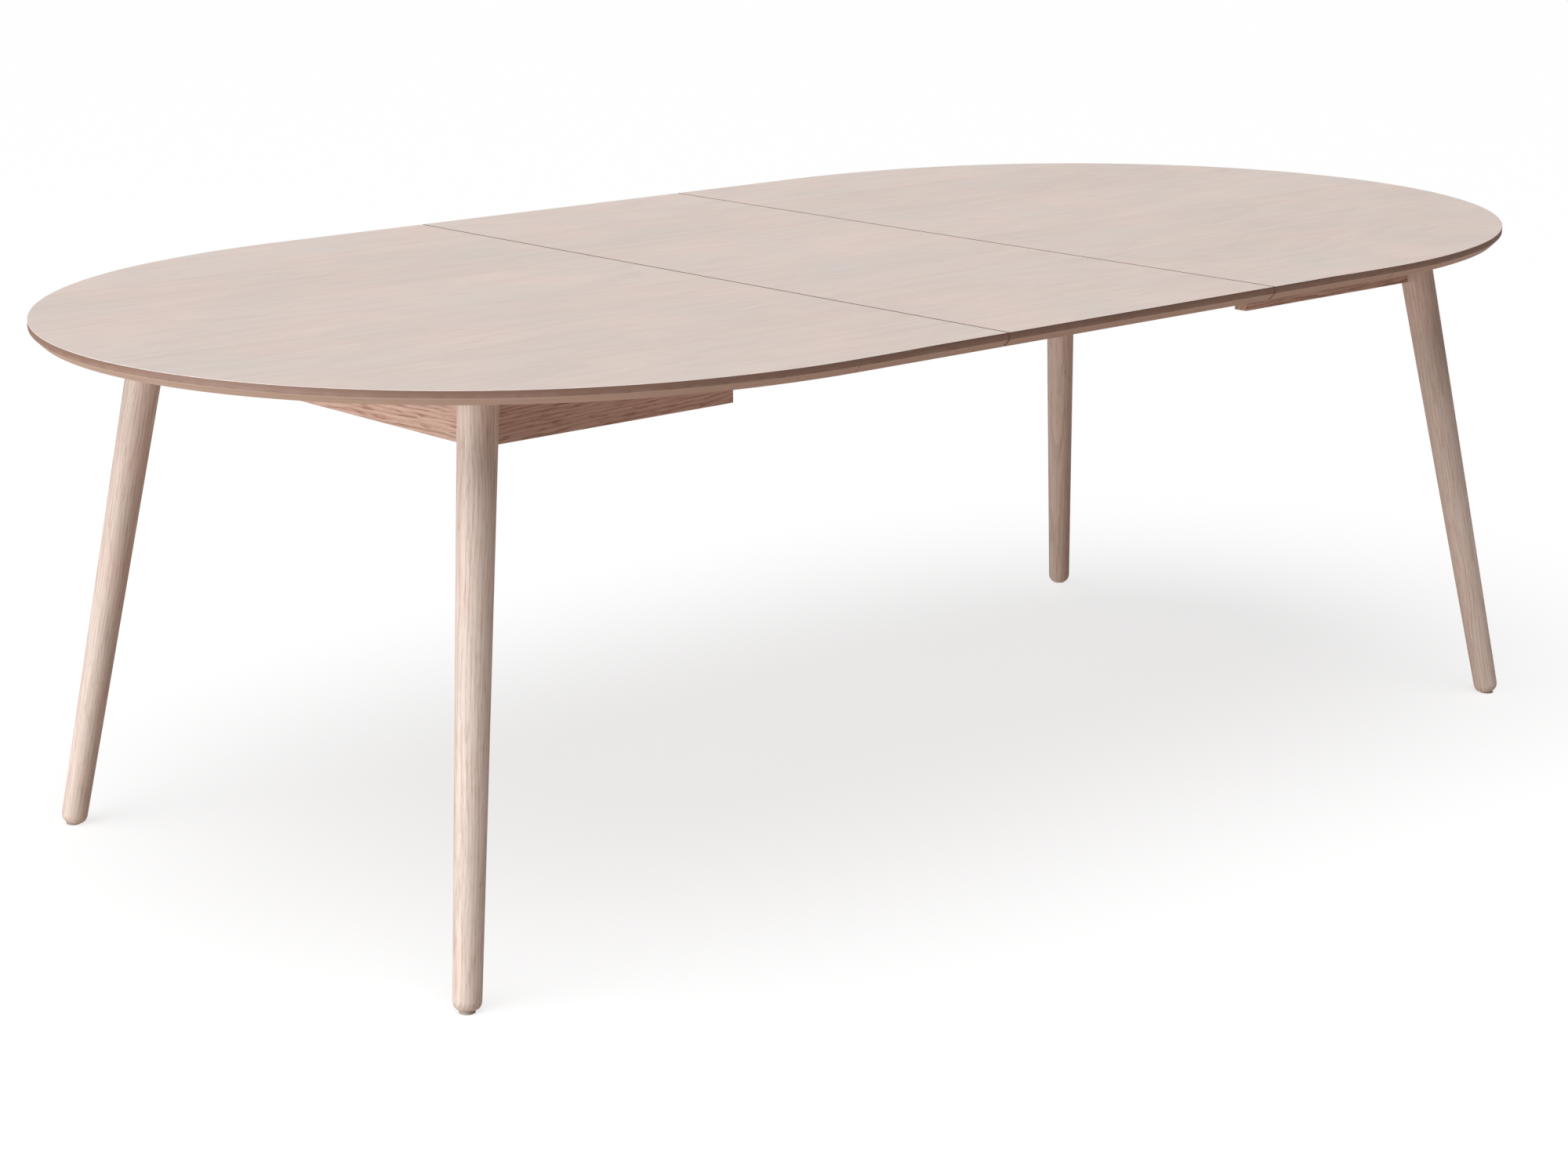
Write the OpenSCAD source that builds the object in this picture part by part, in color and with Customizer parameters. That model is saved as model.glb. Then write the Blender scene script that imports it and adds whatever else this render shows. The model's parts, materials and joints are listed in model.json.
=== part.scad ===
// Extendable dining table: two rounded half tops on splayed turned legs, one loose leaf between
// them, and synchronised slides underneath. Drawn fully extended with the leaf in place.
// Origin: on the floor under the centre of the leaf. X runs along the table, +Z is up.

/* [Table top] */
// Height of the table surface above the floor
table_h = 745; // [700:1:780]
// Overall width of the top
top_w = 1250; // [1200:5:1300]
// Length of one half top, from its seam to its rounded end
half_l = 920; // [900:5:950]
// Length of the loose leaf
leaf_l = 500; // [400:10:600]
// Thickness of the top, veneer included
top_t = 19; // [18:0.5:24]
// Height of the upright band of the rim, above its bevel
rim_band = 9; // [6:0.5:12]
// Radius of the shoulders that blend the straight sides into the rounded end
shoulder_r = 794.5; // [760:0.5:850]
// Length of the straight side of a half top, from the seam
straight_l = 250; // [220:5:265]
// Width of the solid wood lipping around the core board
lipping_w = 32; // [24:1:44]
// Thickness of the top veneer
veneer_t = 1; // [0.6:0.1:2]
// Gap between the panels at a seam
seam_gap = 1.6; // [0.6:0.1:2]

/* [Legs] */
// Distance of a foot from the middle of the table, along X
foot_x = 983.4; // [900:0.1:1020]
// Distance of a foot from the centre line, along Y
foot_y = 464.4; // [420:0.1:500]
// Distance of a leg's top from the middle of the table, along X
leg_top_x = 868.3; // [800:0.1:890]
// Distance of a leg's top from the centre line, along Y
leg_top_y = 365; // [340:0.1:400]
// Largest diameter of a leg, at the frame
leg_d = 51; // [44:0.5:60]
// Diameter of a leg at the foot
foot_d = 35.5; // [28:0.5:40]

/* [Frame] */
// Height of the aprons below the top
apron_h = 74; // [64:1:82]
// Thickness of the aprons
apron_t = 22; // [18:1:28]
// How far the outer face of a side apron stands outside the leg centre line
apron_out = 4; // [0:0.5:8]
// Gap from the seam to the free end of a side apron
apron_free = 235; // [180:5:260]

/* [Slides] */
// Distance of the middle rails from the centre line
slide_y = 200; // [150:5:230]
// Width of one rail
rail_w = 20; // [18:1:24]
// Height of the side rails
rail_h = 45; // [40:1:48]
// Drop of the rails below the top
rail_drop = 4; // [4:0.5:5]
// Running clearance between parts that slide on one another
slide_clear = 0.4; // [0.3:0.05:0.6]
// Tooth module of the pinion and racks
gear_m = 3; // [2.5:0.5:3]
// Number of teeth on the pinion, even so that it meets both racks alike
gear_teeth = 16; // [14:2:18]

/* [Hidden] */
$fn = 96;
e = 0.01;

seam_x = leaf_l / 2;               // the seams' distance from the middle
half_w = top_w / 2;
under_z = table_h - top_t;         // underside of the half tops
bevel = top_t - rim_band;          // the rim's bevel drops as far as it runs in
core_top_z = table_h - veneer_t;
shoulder_c = half_w - shoulder_r;  // the shoulders' centres lie across the centre line
curve_l = half_l - straight_l;
// The one end radius that reaches half_l and meets both shoulders without a corner
end_r = (pow(shoulder_r, 2) - pow(curve_l, 2) - pow(shoulder_c, 2)) / (2 * (shoulder_r - curve_l));
end_c = half_l - end_r;            // centre of the rounded end, from the seam
blend_a = atan2(-shoulder_c, end_c - straight_l);  // direction of the tangent point
far = 2 * half_l;

leg_run = [foot_x - leg_top_x, foot_y - leg_top_y, -under_z];
leg_len = norm(leg_run);
leg_tilt = acos(under_z / leg_len);
leg_turn = atan2(leg_run[1], leg_run[0]);
glide_t = 3;                       // the glides lift the wooden feet off the floor
glide_d = 20;

apron_z = under_z - apron_h;       // underside of the aprons
end_apron_x = leg_top_x + 10;      // outer face of the end apron
side_apron_y = leg_top_y + 9 + apron_out / 4;  // outer face of a side apron
block_l = 70;                      // leg of a triangular corner block
block_h = 46;
bolt_z = apron_z + 36;
bolt_d = 8;
bolt_in = 14;                      // how far a bolt's hole passes the middle of the leg

rail_top_z = under_z - rail_drop;
rail_z = rail_top_z - rail_h;
lane = rail_w + 1;                 // spacing of the rails side by side
slot_h = 8;                        // neck of the T slot
slot_head_h = 16;
slot_neck = 4;                     // depth of the neck
slot_depth = 9;                    // depth of the whole slot
rail_far = seam_x + 550;           // outer ends of the side rails
rail_over = 200;                   // how far a side rail reaches past the middle of the table
middle_rail_l = 900;
tie_t = 5;
tie_w = 60;
tie_z = rail_z - 2 - tie_t;        // underside of the cross tie

pitch_r = gear_m * gear_teeth / 2;
gear_z = 696;
gear_t = 12;
pressure_a = 20;
gear_play = 0.25;                  // taken off each flank of the pinion
rack_back = 11;
rack_over = 40;                    // the racks pass the pinion by this much
rack_pitch = PI * gear_m;
axle_d = 10;

latch_y = 330;
latch_r = 60;                      // from a latch pivot to its keeper pin
latch_pivot_x = 44;                // pivot's distance behind the seam
latch_t = 4;
latch_z = under_z - 6 - latch_t;
keeper_d = 7;

WOOD = [0.86, 0.80, 0.76];
EDGE = [0.62, 0.50, 0.44];
BOARD = [0.72, 0.60, 0.46];
ALLOY = [0.75, 0.76, 0.78];
STEEL = [0.55, 0.56, 0.58];
NYLON = [0.15, 0.15, 0.16];
FELT = [0.45, 0.42, 0.40];

// ---- Shared shapes ----

// Every half shape is drawn as the right half, with x measured from the seam. side is 1 or -1.
module on_half(side) {
    mirror([side < 0 ? 1 : 0, 0, 0]) translate([seam_x, 0, 0]) children();
}

// A bar along X with the given section in Y and Z.
module bar_x(x0, x1) {
    translate([x0, 0, 0]) rotate([90, 0, 90]) linear_extrude(x1 - x0) children();
}

// The rounded end of a half top between two heights. low and high pull the edge in at each height.
module end_shape(z0, z1, low = 0, high = 0) {
    h = z1 - z0;
    tip = far * [cos(blend_a), sin(blend_a)];
    intersection() {
        translate([end_c, 0, z0]) cylinder(h = h, r1 = end_r - low, r2 = end_r - high);
        translate([end_c, 0, z0 - 1]) linear_extrude(h + 2)
            polygon([[0, 0], [tip[0], -tip[1]], [far, -far], [far, far], tip]);
    }
    for (s = [-1, 1]) intersection() {
        translate([straight_l, s * shoulder_c, z0])
            cylinder(h = h, r1 = shoulder_r - low, r2 = shoulder_r - high);
        translate([0, 0, z0 - 1]) linear_extrude(h + 2)
            polygon([[straight_l, 0], [end_c, 0], [end_c + tip[0], s * tip[1]], [straight_l, s * far]]);
    }
}

// The straight part of a panel between two heights, from x0 to x1.
module straight_shape(x0, x1, z0, z1, low = 0, high = 0) {
    bar_x(x0, x1) polygon([
        [-half_w + low, z0], [half_w - low, z0], [half_w - high, z1], [-half_w + high, z1]
    ]);
}

// The rim of a rounded end: bevelled below, upright above, up to the veneer.
module rim_stack() {
    band_z = table_h - rim_band;
    end_shape(under_z, band_z, bevel, 0);
    end_shape(band_z, core_top_z);
}

// ---- Half tops ----

module half_top_core(side) {
    color(BOARD) on_half(side) {
        end_shape(under_z, core_top_z, lipping_w, lipping_w);
        straight_shape(seam_gap / 2, straight_l, under_z, core_top_z, lipping_w, lipping_w);
    }
}

module half_top_veneer(side) {
    color(WOOD) on_half(side) {
        end_shape(core_top_z, table_h);
        straight_shape(seam_gap / 2, straight_l, core_top_z, table_h);
    }
}

module end_lipping(side) {
    color(EDGE) on_half(side) difference() {
        rim_stack();
        end_shape(under_z - 1, core_top_z + 1, lipping_w, lipping_w);
    }
}

// Straight lipping along one long side of a panel. y_side is -1 for the front, 1 for the back.
module side_lipping(x0, x1, y_side, low_z) {
    drop = table_h - rim_band - low_z;
    color(EDGE) mirror([0, y_side < 0 ? 1 : 0, 0]) bar_x(x0, x1) polygon([
        [half_w - lipping_w, low_z], [half_w - drop, low_z], [half_w, table_h - rim_band],
        [half_w, core_top_z], [half_w - lipping_w, core_top_z]
    ]);
}

module half_side_lipping(side, y_side) {
    on_half(side) side_lipping(seam_gap / 2, straight_l, y_side, under_z);
}

// ---- Legs and frame ----

function leg_r(t) = (foot_d + (leg_d - foot_d) * t) / 2;

// A leg standing on its foot along +Z: a straight taper with a rounded foot.
module leg_blank(grow = 0) {
    foot_round = 12;
    tip_r = 10;
    rotate_extrude() polygon(concat(
        [[0, -grow], [tip_r, -grow]],
        [for (a = [15:15:75]) [
            tip_r + (leg_r(0) - tip_r) * sin(a) + grow, foot_round * (1 - cos(a))
        ]],
        [for (t = [0, 1]) [leg_r(t) + grow, foot_round + t * (leg_len + 30 - foot_round)]],
        [[0, leg_len + 30]]
    ));
}

// Puts a child that stands along +Z on the leg line of the right half's back leg.
module on_leg_line() {
    translate([foot_x - seam_x, foot_y, glide_t])
        rotate([0, 0, leg_turn]) rotate([0, -leg_tilt, 0]) children();
}

module leg_shape(grow = 0) {
    intersection() {
        on_leg_line() leg_blank(grow);
        translate([0, 0, under_z / 2]) cube([far * 2, far * 2, under_z], center = true);
    }
}

module leg(side, y_side) {
    color(WOOD) on_half(side) mirror([0, y_side < 0 ? 1 : 0, 0]) difference() {
        leg_shape();
        bolt_line() translate([0, 0, -leg_d]) cylinder(h = leg_d + bolt_in, d = bolt_d);
        translate([foot_x - seam_x, foot_y, 0]) cylinder(h = glide_t + 2, d = glide_d + 0.2);
    }
}

module foot_glide(side, y_side) {
    color(NYLON) on_half(side) mirror([0, y_side < 0 ? 1 : 0, 0])
        translate([foot_x - seam_x, foot_y, 0]) cylinder(h = glide_t + 2, d = glide_d);
}

// The diagonal line of the bolt that pulls a leg into the frame's corner, pointing outwards.
module bolt_line() {
    leg_at = (bolt_z - glide_t) / leg_len;
    x = foot_x - leg_run[0] * leg_at - seam_x;
    y = foot_y - leg_run[1] * leg_at;
    translate([x, y, bolt_z]) rotate([0, 0, 45]) rotate([0, 90, 0]) children();
}

module end_apron(side) {
    reach = side_apron_y - apron_t;
    color(WOOD) on_half(side) difference() {
        translate([end_apron_x - seam_x - apron_t, -reach, apron_z])
            cube([apron_t, 2 * reach, apron_h]);
        for (s = [0, 1]) mirror([0, s, 0]) {
            leg_shape(0.3);
            bolt_line() cylinder(h = 200, d = bolt_d + 1, center = true);
        }
    }
}

module side_apron(side, y_side) {
    color(WOOD) on_half(side) mirror([0, y_side < 0 ? 1 : 0, 0]) difference() {
        translate([apron_free, side_apron_y - apron_t, apron_z])
            cube([leg_top_x - seam_x - apron_free, apron_t, apron_h]);
        leg_shape(0.3);
        bolt_line() cylinder(h = 200, d = bolt_d + 1, center = true);
    }
}

module corner_block() {
    x = end_apron_x - seam_x - apron_t;
    y = side_apron_y - apron_t;
    difference() {
        translate([0, 0, under_z - block_h]) linear_extrude(block_h)
            polygon([[x, y], [x - block_l, y], [x, y - block_l]]);
        leg_shape(0.3);
        bolt_line() cylinder(h = 200, d = bolt_d + 1, center = true);
    }
}

module corner_blocks(side) {
    color(BOARD) on_half(side) for (s = [0, 1]) mirror([0, s, 0]) corner_block();
}

// Threaded rod, washer and hex nut on the inner face of each corner block.
module leg_bolts(side) {
    x = end_apron_x - seam_x - apron_t;
    y = side_apron_y - apron_t;
    leg_at = (bolt_z - glide_t) / leg_len;
    lx = foot_x - leg_run[0] * leg_at - seam_x;
    ly = foot_y - leg_run[1] * leg_at;
    face = ((lx + ly) - (x + y - block_l)) / sqrt(2);
    color(STEEL) on_half(side) for (s = [0, 1]) mirror([0, s, 0]) bolt_line() {
        translate([0, 0, -face - 12]) cylinder(h = face + 12 + bolt_in - 1, d = bolt_d - 0.1);
        translate([0, 0, -face - 1.6]) cylinder(h = 1.6, d = 20);
        translate([0, 0, -face - 8.1]) cylinder(h = 6.5, d = 15, $fn = 6);
    }
}

module apron_brackets(side) {
    arm = 26;
    plate = 2;
    x = end_apron_x - seam_x - apron_t;
    y = side_apron_y - apron_t;
    color(STEEL) on_half(side) {
        for (s = [-1, 1], bx = [apron_free + 40, apron_free + 260]) {
            translate([bx, s * (y - plate / 2), under_z - arm / 2])
                cube([20, plate, arm], center = true);
            translate([bx, s * (y - arm / 2), under_z - plate / 2])
                cube([20, arm, plate], center = true);
        }
        for (by = [-110, 0, 110]) {
            translate([x - plate / 2, by, under_z - arm / 2]) cube([plate, 20, arm], center = true);
            translate([x - arm / 2, by, under_z - plate / 2]) cube([arm, 20, plate], center = true);
        }
    }
}

// ---- Slides ----

// T section from the face of a rail along +Y: a neck, then a head. clear makes it a looser tongue.
module t_section(clear = 0) {
    translate([-1, -slot_h / 2 + clear]) square([slot_depth - 1, slot_h - 2 * clear]);
    translate([slot_neck + clear, -slot_head_h / 2 + clear])
        square([slot_depth - slot_neck - 2 * clear, slot_head_h - 2 * clear]);
}

// A side rail whose T slot faces slot_side. lane_i is 1 for the outer lane, -1 for the inner.
module side_rail(side, y_side, lane_i) {
    z = rail_z + rail_h / 2;
    y = slide_y + lane_i * lane;
    color(ALLOY) mirror([0, y_side < 0 ? 1 : 0, 0]) mirror([side < 0 ? 1 : 0, 0, 0])
        bar_x(-rail_over, rail_far) difference() {
            translate([y - rail_w / 2, rail_z]) square([rail_w, rail_h]);
            translate([y - lane_i * rail_w / 2, z]) mirror([lane_i < 0 ? 1 : 0, 0]) t_section();
        }
}

// A middle rail with a T tongue on each side.
module middle_rail(y_side) {
    z = rail_z + rail_h / 2;
    color(ALLOY) mirror([0, y_side < 0 ? 1 : 0, 0]) bar_x(-middle_rail_l / 2, middle_rail_l / 2) {
        translate([slide_y - rail_w / 2, rail_z - 2]) square([rail_w, rail_h + 2]);
        for (s = [-1, 1]) translate([slide_y + s * (lane - rail_w / 2), z])
            mirror([s < 0 ? 1 : 0, 0]) t_section(slide_clear);
    }
}

module rail_packers(side) {
    lane_i = side < 0 ? 1 : -1;
    y = slide_y + lane_i * lane;
    color(NYLON) on_half(side) for (s = [-1, 1], px = [40, 290, 500])
        translate([px, s * y - rail_w / 2, rail_top_z]) cube([30, rail_w, rail_drop]);
}

// ---- Synchroniser ----

// A point of the pinion's involute flank at radius r, turned by a.
function involute_a(r, base_r) = let (q = sqrt(max(r * r / (base_r * base_r) - 1, 0)))
    q * 180 / PI - atan(q);

module pinion_profile() {
    base_r = pitch_r * cos(pressure_a);
    root_r = pitch_r - 1.25 * gear_m;
    tip_r = pitch_r + 0.95 * gear_m;
    half_a = 90 / gear_teeth - gear_play / pitch_r * 180 / PI + involute_a(pitch_r, base_r);
    low_r = max(base_r, root_r);
    steps = 5;
    flank = [for (i = [0:steps]) let (r = low_r + (tip_r - low_r) * i / steps)
        [r, half_a - involute_a(r, base_r)]];
    polygon([for (k = [0:gear_teeth - 1]) let (c = k * 360 / gear_teeth) each concat(
        [[root_r * cos(c - half_a), root_r * sin(c - half_a)]],
        [for (f = flank) [f[0] * cos(c - f[1]), f[0] * sin(c - f[1])]],
        [for (i = [steps:-1:0]) let (f = flank[i]) [f[0] * cos(c + f[1]), f[0] * sin(c + f[1])]],
        [[root_r * cos(c + half_a), root_r * sin(c + half_a)]]
    )]);
}

module pinion() {
    color(NYLON) translate([0, 0, gear_z]) difference() {
        linear_extrude(gear_t) rotate(90) pinion_profile();
        translate([0, 0, -1]) cylinder(h = gear_t + 2, d = axle_d + 0.1);
    }
}

module pinion_axle() {
    color(STEEL) {
        translate([0, 0, tie_z + tie_t]) cylinder(h = gear_z - 0.4 - tie_z - tie_t, d = 18);
        translate([0, 0, tie_z - 5]) cylinder(h = 5, d = 16, $fn = 6);
        translate([0, 0, tie_z]) cylinder(h = gear_z + gear_t + 4 - tie_z, d = axle_d);
        translate([0, 0, gear_z + gear_t + 0.4]) cylinder(h = 4, d = 18);
    }
}

module cross_tie() {
    reach = slide_y + rail_w / 2;
    color(STEEL) translate([0, 0, tie_z]) difference() {
        translate([-tie_w / 2, -reach, 0]) cube([tie_w, 2 * reach, tie_t]);
        translate([0, 0, -1]) cylinder(h = tie_t + 2, d = axle_d);
    }
}

// A straight rack with its teeth toward the pinion, from the seam side past the middle.
module rack_profile() {
    x0 = -rack_over;
    x1 = seam_x + 250;
    tip = gear_m * 0.95;
    root = gear_m * 1.25;
    half_tip = rack_pitch / 4 - tip * tan(pressure_a);
    half_root = rack_pitch / 4 + root * tan(pressure_a);
    first = ceil((x0 + half_root) / rack_pitch - 0.5);
    last = floor((seam_x + rack_over - half_root) / rack_pitch - 0.5);
    polygon(concat(
        [[x0, root + rack_back], [x0, root]],
        [for (k = [first:last]) let (c = (k + 0.5) * rack_pitch) each
            [[c - half_root, root], [c - half_tip, -tip], [c + half_tip, -tip], [c + half_root, root]]],
        [[x1, root], [x1, root + rack_back]]
    ));
}

module rack(side) {
    post_x = [seam_x + 50, seam_x + 210];
    back_y = pitch_r + gear_m * 1.25;
    color(ALLOY) rotate([0, 0, side < 0 ? 180 : 0]) {
        translate([0, pitch_r, gear_z]) linear_extrude(gear_t) rack_profile();
        for (x = post_x) translate([x, back_y, gear_z + gear_t - e])
            cube([30, rack_back, under_z - gear_z - gear_t + e]);
    }
}

// ---- Seam fittings ----

// Ledges under each seam edge that carry the leaf's edge level with the half top.
module leveling_plates(side) {
    y_at = side < 0 ? 90 : 130;
    plate = 2.5;
    color(STEEL) on_half(side) for (s = [-1, 1]) translate([0, s * y_at - 15, 0]) {
        translate([0, 0, under_z - plate]) cube([36, 30, plate]);
        translate([-24, 0, under_z - plate]) cube([24 + e, 30, plate - 0.3]);
    }
}

// A latch lies parallel to the seam when open. Its hook is an arc round its pivot.
module latch_shape() {
    inner = latch_r - keeper_d / 2 - 0.6;
    outer = latch_r + keeper_d / 2 + 0.6;
    wall = 5;
    reach = 20;                    // how far the hook's open jaw leads the pin, in degrees
    difference() {
        union() {
            cylinder(h = latch_t, d = 22);
            rotate([0, 0, 90]) difference() {
                cylinder(h = latch_t, r = outer + wall);
                translate([0, 0, -1]) linear_extrude(latch_t + 2) polygon([
                    [0, 0], far * [cos(21), sin(21)], far * [-1, 1], far * [-1, -1],
                    far * [cos(reach), -sin(reach)]
                ]);
            }
        }
        translate([0, 0, -1]) cylinder(h = latch_t + 2, d = 8.1);
        rotate([0, 0, 90]) translate([0, 0, -1]) difference() {
            cylinder(h = latch_t + 2, r = outer);
            translate([0, 0, -1]) cylinder(h = latch_t + 4, r = inner);
            translate([0, 0, -1]) linear_extrude(latch_t + 4)
                polygon([[0, 0], far * [cos(8), sin(8)], far * [1, 1]]);
        }
    }
}

// Places a latch on the panel to the left of a seam at x.
module latch_at(x, y_side) {
    translate([x - latch_pivot_x, y_side * latch_y, latch_z]) mirror([0, y_side < 0 ? 1 : 0, 0])
        children();
}

module latch(x, y_side) {
    color(STEEL) latch_at(x, y_side) latch_shape();
}

module latch_pivots(x, top_z) {
    color(STEEL) for (s = [-1, 1]) latch_at(x, s) {
        translate([0, 0, -3.3]) cylinder(h = 3, d = 14);
        translate([0, 0, -3.3]) cylinder(h = top_z - latch_z + 3.3, d = 8);
        translate([0, 0, latch_t + 0.3]) cylinder(h = top_z - latch_z - latch_t - 0.3, d = 18);
    }
}

module keepers(x, top_z) {
    color(STEEL) for (s = [-1, 1]) latch_at(x, s) translate([latch_r, 0, 0]) {
        cylinder(h = top_z - latch_z, d = keeper_d);
        translate([-9, -18, top_z - latch_z - 2]) cube([24, 36, 2]);
    }
}

// ---- Leaf ----

module leaf_core() {
    w = half_w - lipping_w;
    x = seam_x - seam_gap / 2;
    color(BOARD) translate([-x, -w, under_z]) cube([2 * x, 2 * w, core_top_z - under_z]);
}

module leaf_veneer() {
    x = seam_x - seam_gap / 2;
    color(WOOD) translate([-x, -half_w, core_top_z]) cube([2 * x, top_w, veneer_t]);
}

module leaf_side_lipping(y_side) {
    side_lipping(-seam_x + seam_gap / 2, seam_x - seam_gap / 2, y_side, under_z);
}

module leaf_felt_strips() {
    low_z = rail_top_z + 0.3;
    color(FELT) for (s = [-1, 1], lane_i = [-1, 1]) {
        x0 = lane_i < 0 ? -rail_over + 10 : -seam_x + 45;
        x1 = lane_i < 0 ? seam_x - 45 : rail_over - 10;
        translate([x0, s * (slide_y + lane_i * lane) - 7, low_z])
            cube([x1 - x0, 14, under_z - low_z]);
    }
}

// ---- Nodes ----

half_top_core(-1);  // left_top_core
half_top_veneer(-1);  // left_top_veneer
end_lipping(-1);  // left_end_lipping
half_side_lipping(-1, -1);  // left_front_lipping
half_side_lipping(-1, 1);  // left_back_lipping
end_apron(-1);  // left_end_apron
side_apron(-1, -1);  // left_front_apron
side_apron(-1, 1);  // left_back_apron
leg(-1, -1);  // left_front_leg
leg(-1, 1);  // left_back_leg
foot_glide(-1, -1);  // left_front_glide
foot_glide(-1, 1);  // left_back_glide
corner_blocks(-1);  // left_corner_blocks
leg_bolts(-1);  // left_leg_bolts
side_rail(-1, -1, 1);  // left_front_rail
side_rail(-1, 1, 1);  // left_back_rail
rail_packers(-1);  // left_rail_packers
rack(-1);  // left_rack
leveling_plates(-1);  // left_leveling_plates
apron_brackets(-1);  // left_apron_brackets
latch_pivots(-seam_x, under_z);  // left_latch_pivots
latch(-seam_x, -1);  // left_front_latch
latch(-seam_x, 1);  // left_back_latch
half_top_core(1);  // right_top_core
half_top_veneer(1);  // right_top_veneer
end_lipping(1);  // right_end_lipping
half_side_lipping(1, -1);  // right_front_lipping
half_side_lipping(1, 1);  // right_back_lipping
end_apron(1);  // right_end_apron
side_apron(1, -1);  // right_front_apron
side_apron(1, 1);  // right_back_apron
leg(1, -1);  // right_front_leg
leg(1, 1);  // right_back_leg
foot_glide(1, -1);  // right_front_glide
foot_glide(1, 1);  // right_back_glide
corner_blocks(1);  // right_corner_blocks
leg_bolts(1);  // right_leg_bolts
side_rail(1, -1, -1);  // right_front_rail
side_rail(1, 1, -1);  // right_back_rail
rail_packers(1);  // right_rail_packers
rack(1);  // right_rack
leveling_plates(1);  // right_leveling_plates
apron_brackets(1);  // right_apron_brackets
keepers(seam_x, under_z);  // right_keepers
middle_rail(-1);  // front_middle_rail
middle_rail(1);  // back_middle_rail
cross_tie();
pinion_axle();
pinion();
leaf_core();
leaf_veneer();
leaf_side_lipping(-1);  // leaf_front_lipping
leaf_side_lipping(1);  // leaf_back_lipping
leaf_felt_strips();
keepers(-seam_x, under_z);  // leaf_keepers
latch_pivots(seam_x, under_z);  // leaf_latch_pivots
latch(seam_x, -1);  // leaf_front_latch
latch(seam_x, 1);  // leaf_back_latch
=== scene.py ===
import json
import math

import bmesh
import bpy
from mathutils import Matrix, Vector


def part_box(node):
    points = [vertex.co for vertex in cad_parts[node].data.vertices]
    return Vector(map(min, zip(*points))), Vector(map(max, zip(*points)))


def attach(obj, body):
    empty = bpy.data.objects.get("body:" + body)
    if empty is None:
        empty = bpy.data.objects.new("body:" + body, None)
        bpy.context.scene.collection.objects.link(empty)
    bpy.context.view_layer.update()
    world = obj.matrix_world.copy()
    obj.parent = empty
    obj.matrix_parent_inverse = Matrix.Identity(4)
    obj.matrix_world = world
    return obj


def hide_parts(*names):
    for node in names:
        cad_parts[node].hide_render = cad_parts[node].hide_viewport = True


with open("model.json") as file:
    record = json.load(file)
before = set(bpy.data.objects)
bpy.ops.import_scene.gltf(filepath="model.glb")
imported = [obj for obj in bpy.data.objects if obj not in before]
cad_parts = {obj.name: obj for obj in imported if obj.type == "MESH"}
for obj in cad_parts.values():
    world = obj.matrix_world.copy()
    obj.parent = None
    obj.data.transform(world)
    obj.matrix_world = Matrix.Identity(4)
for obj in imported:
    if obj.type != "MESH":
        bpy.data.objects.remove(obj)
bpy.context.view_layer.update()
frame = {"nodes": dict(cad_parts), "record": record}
NODES = frame["nodes"]

SIDES = {"left": -1, "right": 1}     # the half tops, by the sign of X
FACES = {"front": -1, "back": 1}     # the long sides, by the sign of Y

# ---- Sizes read from the frame, in metres ----

TOP_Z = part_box("left_top_veneer")[1].z
VENEER_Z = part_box("left_top_veneer")[0].z
UNDER_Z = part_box("left_top_core")[0].z
HALF_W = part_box("left_top_veneer")[1].y
HALF_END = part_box("right_top_veneer")[1].x
SEAM_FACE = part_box("right_top_veneer")[0].x
LEAF_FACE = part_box("leaf_veneer")[1].x
SEAM_X = (SEAM_FACE + LEAF_FACE) / 2
LIPPING_JOINT_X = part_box("right_front_lipping")[1].x
CORE_EDGE = HALF_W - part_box("right_top_core")[1].y

# The plan of a half top: a straight side, a shoulder arc and the rounded end, as in the CAD.
HALF_L = HALF_END - SEAM_X
STRAIGHT_L = LIPPING_JOINT_X - SEAM_X
SHOULDER_R = 0.7945
SHOULDER_C = HALF_W - SHOULDER_R
CURVE_L = HALF_L - STRAIGHT_L
END_R = (SHOULDER_R ** 2 - CURVE_L ** 2 - SHOULDER_C ** 2) / (2 * (SHOULDER_R - CURVE_L))
END_C = HALF_L - END_R
BLEND_A = math.atan2(-SHOULDER_C, END_C - STRAIGHT_L)
SHOULDER_STEPS = 10
END_STEPS = 84

# The section of the rim: an upright band over a bevel, as in the CAD, with eased edges.
RIM_BAND = 0.009
BAND_Z = TOP_Z - RIM_BAND
BEVEL = (TOP_Z - UNDER_Z) - RIM_BAND
ARRIS = 0.0009                       # size of the eased edges of the panels
VENEER_EASE = ARRIS * 0.9            # radius of the veneer's upper edge
SEAM_EASE = 0.8                      # the seam edges are sharper than the rim by this share
JOINT_EASE = 0.0005                  # easing where two pieces of lipping meet
WORN_UP_TO = VENEER_Z - 0.002        # the rim's worn edge fades out at this height
LIPPING_CUTS = 12                    # stretches that a straight lipping is cut into, for its grain

SMOOTH_ANGLE = math.radians(40)      # faces that meet more sharply than this keep a hard edge

# ---- Small helpers ----


def add_to_scene(name, data):
    obj = bpy.data.objects.new(name, data)
    bpy.context.scene.collection.objects.link(obj)
    return obj


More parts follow.
